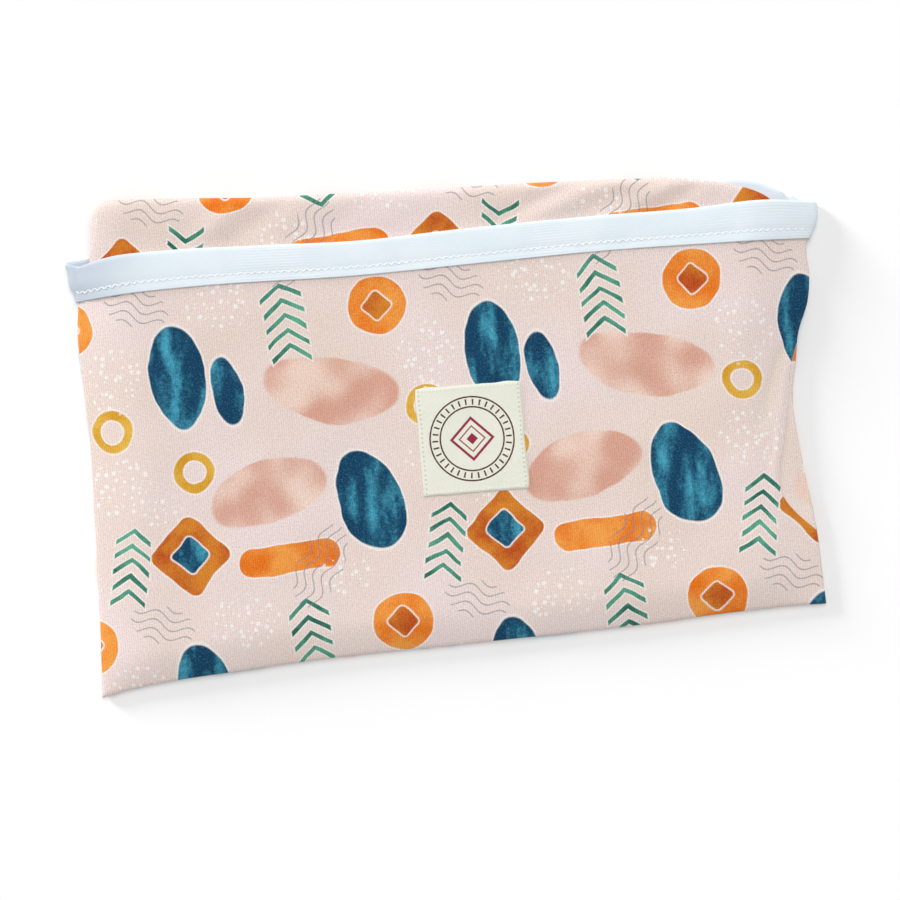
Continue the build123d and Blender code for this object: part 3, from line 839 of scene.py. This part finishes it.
def makeStitches(name, places, slant, length, width):
    # Places are (point, direction along the row, up), in mm. Each gets one sunken bar of thread.
    bpy.ops.object.select_all(action="DESELECT")
    bpy.ops.mesh.primitive_uv_sphere_add(segments=8, ring_count=6, radius=1)
    row = bpy.context.object
    row.name = row.data.name = name
    shape = pointsOf(row) * (length / 2, width / 2, width / 2)
    # Blender gives the sphere's faces in any order, so they are put in one.
    rings = [list(face.vertices) for face in row.data.polygons]
    faces = sorted(ring[ring.index(min(ring)) :] + ring[: ring.index(min(ring))] for ring in rings)
    points, sides = [], []
    for index, (point, along, up) in enumerate(places):
        along = along / np.linalg.norm(along)
        turn = math.radians(slant) * (1 if index % 2 else -1)
        way = along * math.cos(turn) + np.cross(up, along) * math.sin(turn)
        sides += [[corner + len(points) * len(shape) for corner in face] for face in faces]
        points.append(
            point + shape[:, :1] * way + shape[:, 1:2] * np.cross(up, way) + shape[:, 2:] * up
        )
    row.data.clear_geometry()
    row.data.from_pydata(np.concatenate(points) * mm, [], sides)
    row.data.update()
    bpy.ops.object.shade_smooth()
    dress(row, whiteThread)
    return row


def rowOnBinding(back):  # points along the stitch row on one run of the binding, with directions
    base = bindingLoop(binding["stitchRow"])
    count = len(acrossPocket)
    run = np.concatenate([base[count - 1 :], base[:1]]) if back else base[:count]
    lengths = np.concatenate([[0], np.cumsum(np.linalg.norm(np.diff(run, axis=0), axis=1))])
    wanted = np.arange(stitch["pitch"], lengths[-1] - stitch["pitch"], stitch["pitch"])
    line = np.stack([np.interp(wanted, lengths, run[:, axis]) for axis in range(3)], axis=1)
    along = np.gradient(line, axis=0)
    along /= np.linalg.norm(along, axis=1, keepdims=True)
    up = np.cross(along, [0, 1.0, 0]) * np.sign(along[:, :1]) * -1
    up /= np.linalg.norm(up, axis=1, keepdims=True)
    up *= np.sign(up[:, 2:])
    seat = binding["leg"] - binding["stitchDip"] + binding["thickness"] / 2
    line += up * (seat + stitch["rise"])
    level = np.abs(along[:, 2]) < stitch["steepest"] * np.abs(along[:, 0])
    first, last = stitch["rowEnds"]
    keepers = level & (line[:, 0] > first) & (line[:, 0] < last)
    return [(point, way, above) for point, way, above, ok in zip(line, along, up, keepers) if ok]


bandStitches = makeStitches(
    "bindingStitches",
    rowOnBinding(back=False) + rowOnBinding(back=True),
    stitch["slant"],
    stitch["length"],
    stitch["width"],
)
print("binding is stitched,", len(bandStitches.data.polygons), "faces")


def onFront(x, y):  # height of the middle of the front's cloth, away from its foot fold
    farFromFoot = np.full_like(x, 60.0)
    lifted = frontHeight(x, y, pocket["left"](y), pocket["right"](y), farFromFoot)
    return pocket["foldMiddle"] + pocket["fold"] + lifted


# The rest of the cover is a bundle, folded in three layers and tucked into the pocket.
bundle = {
    "left": lineThrough(
        (-96, -168.2), (0, -167.6), (60, -168.0), (89, -167.6), (102, -165.2), (114, -163.6),
        (118, -163.2),
    ),
    "right": lineThrough(
        (-90, 153.6), (-3, 153.4), (30, 155.5), (60, 158.0), (90, 162.5), (104, 164.0)
    ),
    "top": lineThrough(
        (-168, 117.9), (-150, 117.7), (-116, 115.6), (-87, 113.5), (-51, 112.2), (4, 110.4),
        (38, 109.6), (97, 107.1), (112, 106.2), (128, 103.7), (143, 99.9), (151, 96.9), (158, 92.4),
        (164, 86.0),
    ),
    "footLeft": -95.8,
    "footRight": -81.0,
    "corner": 7.0,
    "base": 3.0,
    "topAtMouth": 10.9,
    "topAtFoot": 7.3,
    "slopeRun": 180.0,
    "rightDrop": 4.6,  # it thins out towards the top right corner
    "roll": 6.0,  # the top fold comes down softly over this much
    "spring": 1.6,  # outside the pocket the bundle springs up this far
    "width": 328.0,
    "length": 205.0,
    "pitch": 2.6,
    "wall": 0.5,
    # height, start, end and width of each wrinkle in its face
    "wrinkles": (
        (1.3, (34, 90), (92, 110), 4.4),
        (-1.0, (20, 90), (70, 110), 4.2),
        (1.1, (78, 88), (118, 106), 3.8),
        (-0.9, (98, 90), (128, 104), 3.2),
        (0.8, (-120, 92), (-92, 113), 4.2),
        (-0.8, (-104, 92), (-70, 112), 4.6),
        (-0.5, (-60, 92), (-30, 111), 5.0),
    ),
    "printRound": 700.0,
    "printFrom": 17.0,
    # name, from and to as a share of the height, inset, and a seed for its wrinkles
    "layers": (
        ("bundleLowerFold", 0.0, 0.31, 2.6, 21),
        ("bundleMiddleFold", 0.34, 0.63, 3.6, 22),
        ("bundleFaceFold", 0.66, 1.0, 0.0, 23),
    ),
}
acrossBundle = steps(bundle["width"], bundle["pitch"])
alongBundle = steps(bundle["length"], bundle["pitch"])
bundleLoop, bundleUnder = thereAndBack(acrossBundle)


def bundlePlan(across, along, inset):
    b = bundle
    footY = b["footLeft"] + (b["footRight"] - b["footLeft"]) * across + inset
    y = footY + (100 - footY) * along
    for _ in range(3):
        left = b["left"](y) + inset
        right = b["right"](y) - inset
        x = left * (1 - across) + right * across
        gone = np.clip(1 - np.minimum(x - left, right - x) / b["corner"], 0, 1)
        drop = b["corner"] * (1 - np.sqrt(1 - gone**2))
        topY = b["top"](x) - inset - drop
        y = footY + drop + (topY - footY - drop) * along
    return x, y, footY + drop, topY, left, right


def bundleLayer(name, low, high, inset, seed):
    b = bundle

    def place(column, row):
        across, along, under = bundleLoop[column], alongBundle[row], bundleUnder[column]
        x, y, footY, topY, left, right = bundlePlan(across, along, inset)
        slope = (b["topAtMouth"] - b["topAtFoot"]) / b["slopeRun"]
        full = b["topAtMouth"] + (np.minimum(y, 96) - pocket["mouth"]) * slope
        full = full - b["rightDrop"] * eased((x - 118) / 46) * eased((y - 76) / 20)
        # It stays under the front, and lower still under the binding.
        below = onFront(x, np.minimum(y, 86)) - 1.0 - 0.9 * eased((y - 66) / 8)
        full = np.maximum(np.minimum(full, below), b["base"] + 1.5)
        bottom = b["base"] + (full - b["base"]) * low
        top = b["base"] + (full - b["base"]) * high
        half = (top - bottom) / 2
        sides = np.minimum(x - left, right - x)
        ends = np.minimum(y - footY, topY - y)
        roll = rounded(sides, 2.2) * rounded(ends, 2.4)
        z = (top + bottom) / 2 + np.where(under > 0.5, -1, 1) * half * roll
        if high == 1.0:  # the face that shows rolls down softly and has diagonal wrinkles
            outside = eased((y - 84) / 8) * (1 - under)
            fall = 1 - rounded(topY - y, b["roll"])
            folds = sum(height * ridge(x, y, *run) for height, *run in b["wrinkles"])
            folds = folds + 0.4 * hills(x, y, 26, seed)
            z = z + outside * (folds * rounded(topY - y, 9) - 1.4 * fall * roll)
            z = z + b["spring"] * eased((y - 86) / 24) * (1 - under) * roll
        return np.stack([x, y, z], axis=1)

    def printAt(column, row):
        across, along, under = bundleLoop[column], alongBundle[row], bundleUnder[column]
        x, y, *_ = bundlePlan(across, along, inset)
        u = np.where(under > 0.5, b["printRound"] - x, x)
        return np.stack([b["printFrom"] - u, -y - 12 * seed], axis=1)  # it stands on its head here

    layer = layCloth(name, len(bundleLoop) - 1, len(alongBundle) - 1, place, printAt)
    thicken(layer, b["wall"])
    dress(layer, printedJersey)
    return layer


bundleLayers = [bundleLayer(*layer) for layer in bundle["layers"]]
print("bundle is folded,", sum(len(layer.data.polygons) for layer in bundleLayers), "faces")

# The woven label is sewn on along its top and bottom edges.
label = {
    "centre": (6.85, -9.1),
    "width": 50.5,
    "height": 51.5,
    "thickness": 0.32,
    "lift": 0.5,
    "rounding": 0.9,  # corners are turned in a little
    "ripple": 0.22,
    "stitchMargin": 1.5,
    "stitchPitch": 1.9,
    "parts": 40,
}
labelSteps = np.linspace(-0.5, 0.5, label["parts"] + 1)


def placeLabel(column, row):
    u, v = labelSteps[column], labelSteps[row]
    corner = label["rounding"] * (2 * np.abs(u)) ** 14 * (2 * np.abs(v)) ** 14
    x = label["centre"][0] + u * (label["width"] * (1 + 0.012 * (4 * v * v - 0.4)) - corner)
    y = label["centre"][1] + v * (label["height"] * (1 + 0.010 * (4 * u * u - 0.4)) - corner)
    x = x + label["ripple"] * hills(0 * x, y, 13, 31) * (2 * np.abs(u)) ** 6
    y = y + label["ripple"] * hills(x, 0 * y, 13, 32) * (2 * np.abs(v)) ** 6
    middle = eased((0.5 - np.abs(v)) / 0.12)
    z = onFront(x, y) + label["lift"] + middle * (0.12 + 0.07 * hills(x, y, 9, 33))
    return np.stack([x, y, z], axis=1)


def printOnLabel(column, row):
    u, v = labelSteps[column] * label["width"], labelSteps[row] * label["height"]
    return np.stack([u, v], axis=1)


parts = label["parts"]
tag = layCloth("wovenLabel", parts, parts, placeLabel, printOnLabel, joined=False)
thicken(tag, label["thickness"])
dress(tag, labelCloth)
tagStitches = []
for end in (-1, 1):
    count = int((label["width"] - 2.5) / label["stitchPitch"])
    xs = label["centre"][0] + (np.arange(count) - (count - 1) / 2) * label["stitchPitch"]
    ys = np.full_like(xs, label["centre"][1] + end * (label["height"] / 2 - label["stitchMargin"]))
    zs = onFront(xs, ys) + label["lift"] + label["thickness"] / 2 + 0.12
    for x, y, z in zip(xs, ys, zs):
        tagStitches.append((np.array([x, y, z]), np.array([0.0, 1, 0]), np.array([0, 0, 1.0])))
labelStitches = makeStitches("labelStitches", tagStitches, slant=8, length=1.5, width=0.45)
print("label is sewn on")

# What the pieces ride on: the bundle's layers on the bundle, and the label and its stitches on the
# front.
for piece, slotName in (
    (skin, "printed_jersey"), (band, "white_elastic"), (bandStitches, "white_thread")
):
    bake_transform(piece)
for layer in bundleLayers:
    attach(layer, "bundle")
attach(tag, "pocket_front")
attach(labelStitches, "pocket_front")
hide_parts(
    "pocket_front_panel", "pocket_back_panel", "pocket_foot_fold", "pocket_left_fold",
    "pocket_right_fold", "left_corner_seam", "right_corner_seam",
)
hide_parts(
    "elastic_front_run", "elastic_back_run", "elastic_left_turn", "elastic_right_turn"
)
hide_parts("elastic_front_stitching", "elastic_back_stitching")
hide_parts("woven_label")
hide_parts("label_top_stitching", "label_bottom_stitching")
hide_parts("bundle_turned_rim", "bundle_face_ply", "bundle_upper_fold")
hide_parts("bundle_middle_fold", "bundle_left_elastic", "bundle_right_elastic")
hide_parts("bundle_lower_fold", "bundle_back_ply")

# Table, light and camera.
studio = {
    "below": 0.0002,  # the table's top lies this far under the cloth, and is this wide
    "breadth": 40,
    "floor": "#F0F0F0",
    "floorGlow": 0.075,
    "dome": 0.47,
    "overhead": (1.38, 50, 62, 165),  # strength, breadth, height and side, in degrees
    "window": (1.5, 15, 12, -131),
    "tableWindow": (1.7, 15, 12, -131),  # the share of it that is kept off the cloth
}


def seenStraight(tree):  # 1 for rays from the camera, also by way of gloss or glass
    seen = put(tree, "LightPath", [], "Is Camera Ray")
    outputs = seen.node.outputs
    return farthest(tree, [seen, outputs["Is Glossy Ray"], outputs["Is Transmission Ray"]])


bpy.ops.object.select_all(action="DESELECT")
bpy.ops.mesh.primitive_plane_add(size=studio["breadth"], location=(0, 0, -studio["below"]))
table = bpy.context.object
table.name = "table"
tableTop, tree = newMaterial("matt white paper sweep")
glow = put(tree, "Math", [seenStraight(tree), studio["floorGlow"]], operation="MULTIPLY")
paper = put(tree, "BsdfDiffuse", {"Color": colour(studio["floor"])})
sheen = put(tree, "Emission", {"Color": (1, 1, 1, 1), "Strength": glow})
put(tree, "OutputMaterial", {"Surface": put(tree, "AddShader", [paper, sheen])})
dress(table, tableTop)

world = bpy.data.worlds.new("studio")
bpy.context.scene.world = world
world.use_nodes = True
sky = world.node_tree
sky.nodes.clear()
strength = put(sky, "MapRange", [seenStraight(sky), 0.0, 1.0, studio["dome"], 1.0])
dome = put(sky, "Background", {"Color": (1, 1, 1, 1), "Strength": strength})
put(sky, "OutputWorld", {"Surface": dome})

for name in ("overhead", "window", "tableWindow"):
    power, breadth, height, side = studio[name]
    bpy.ops.object.light_add(type="SUN", location=(-0.6, 0.5, 0.9))
    lamp = bpy.context.object
    lamp.name = name
    lamp.data.energy = power
    lamp.data.angle = math.radians(breadth)
    lamp.rotation_euler = (math.radians(90 - height), 0, math.radians(side))
# The last lamp lights the table alone, where it draws the long soft shadow.
tableOnly = bpy.data.collections.new("table only")
tableOnly.objects.link(table)
lamp.light_linking.receiver_collection = tableOnly

view = {
    "height": 2.0,  # metres over the table
    "centre": (-4.1, -13.6),
    "turn": -4.8,
    "across": 428.6,  # what the frame takes in, at the height of the cloth
    "lift": 5.0,
    "sensor": 36,
}
bpy.ops.object.camera_add(
    location=(view["centre"][0] * mm, view["centre"][1] * mm, view["height"]),
    rotation=(0, 0, math.radians(view["turn"])),
)
camera = bpy.context.object
camera.data.sensor_width = view["sensor"]
distance = view["height"] - view["lift"] * mm
camera.data.lens = view["sensor"] * distance / (view["across"] * mm)
bpy.context.scene.camera = camera
bpy.context.scene.view_settings.view_transform = "Standard"

print("camera and light are set")
